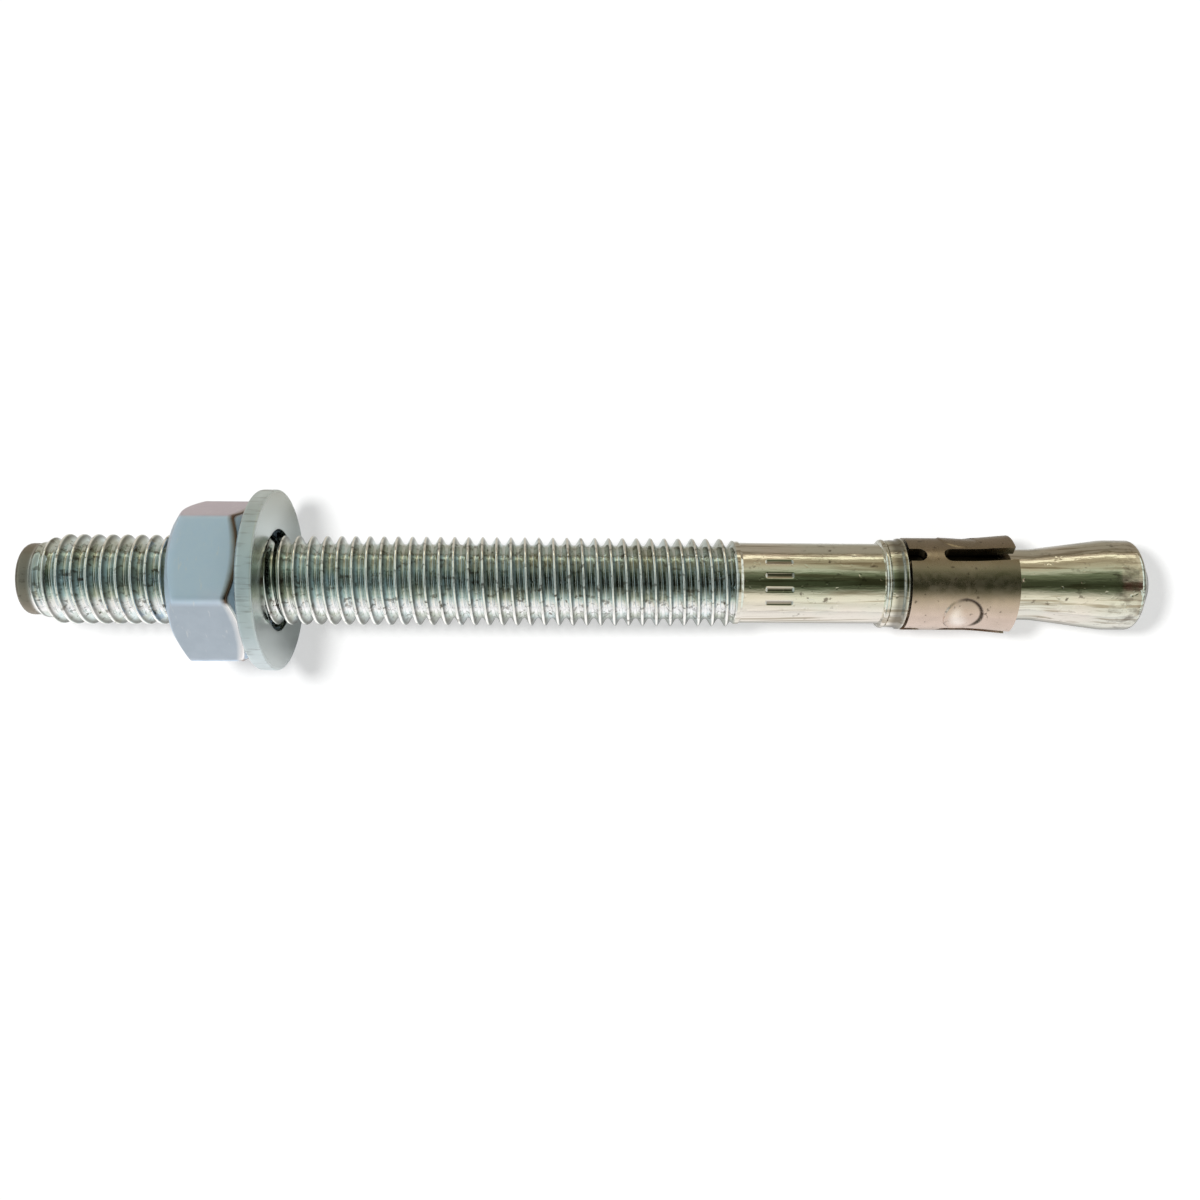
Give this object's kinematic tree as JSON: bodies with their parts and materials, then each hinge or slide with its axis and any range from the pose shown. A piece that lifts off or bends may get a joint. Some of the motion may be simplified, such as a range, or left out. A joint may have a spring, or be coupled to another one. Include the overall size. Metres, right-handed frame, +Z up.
{
  "type": "expansion anchor bolt",
  "caption": "Steel expansion anchor lying on its side: threaded stud with a collar, a slotted clip on the neck before the cone, a flat washer and a hexagon nut.",
  "frame": {"origin": "middle of the base of the bounding box, on the surface that the bolt lies on", "axes": "+X from the stub end towards the cone end along the lying bolt, +Y to its back, +Z up"},
  "size_m": [0.1, 0.016, 0.016],
  "materials": {
    "zinc_bolt": "yellow-tinted bright zinc, fine lengthways scratches",
    "clip_steel": "dull taupe sheet steel",
    "zinc_nut": "satin blue zinc",
    "zinc_washer": "satin pale zinc, shiny round the hole"
  },
  "bodies": {
    "bolt": {"anchor_bolt": "zinc_bolt"},
    "washer": {"washer": "zinc_washer"},
    "nut": {"hex_nut": "zinc_nut"},
    "clip": {"expansion_clip": "clip_steel"}
  },
  "joints": [
    {"name": "washer_slide", "type": "slide", "parent": "bolt", "child": "washer", "axis": [0.999, 0, -0.0447], "range_m": [-0.0122, 0.0412]},
    {"name": "nut_spin", "type": "hinge", "parent": "washer", "child": "nut", "pos_m": [-0.03295, 0, 0.00775], "axis": [0.999, 0, -0.0447], "range_deg": [-3510, 11860]},
    {"name": "clip_slide", "type": "slide", "parent": "bolt", "child": "clip", "axis": [0.999, 0, -0.0447], "range_m": [0, 0.0048]}
  ],
  "couplings": [
    {"joint": "washer_slide", "follows": "nut_spin", "m_per_rad": 0.00019894}
  ]
}
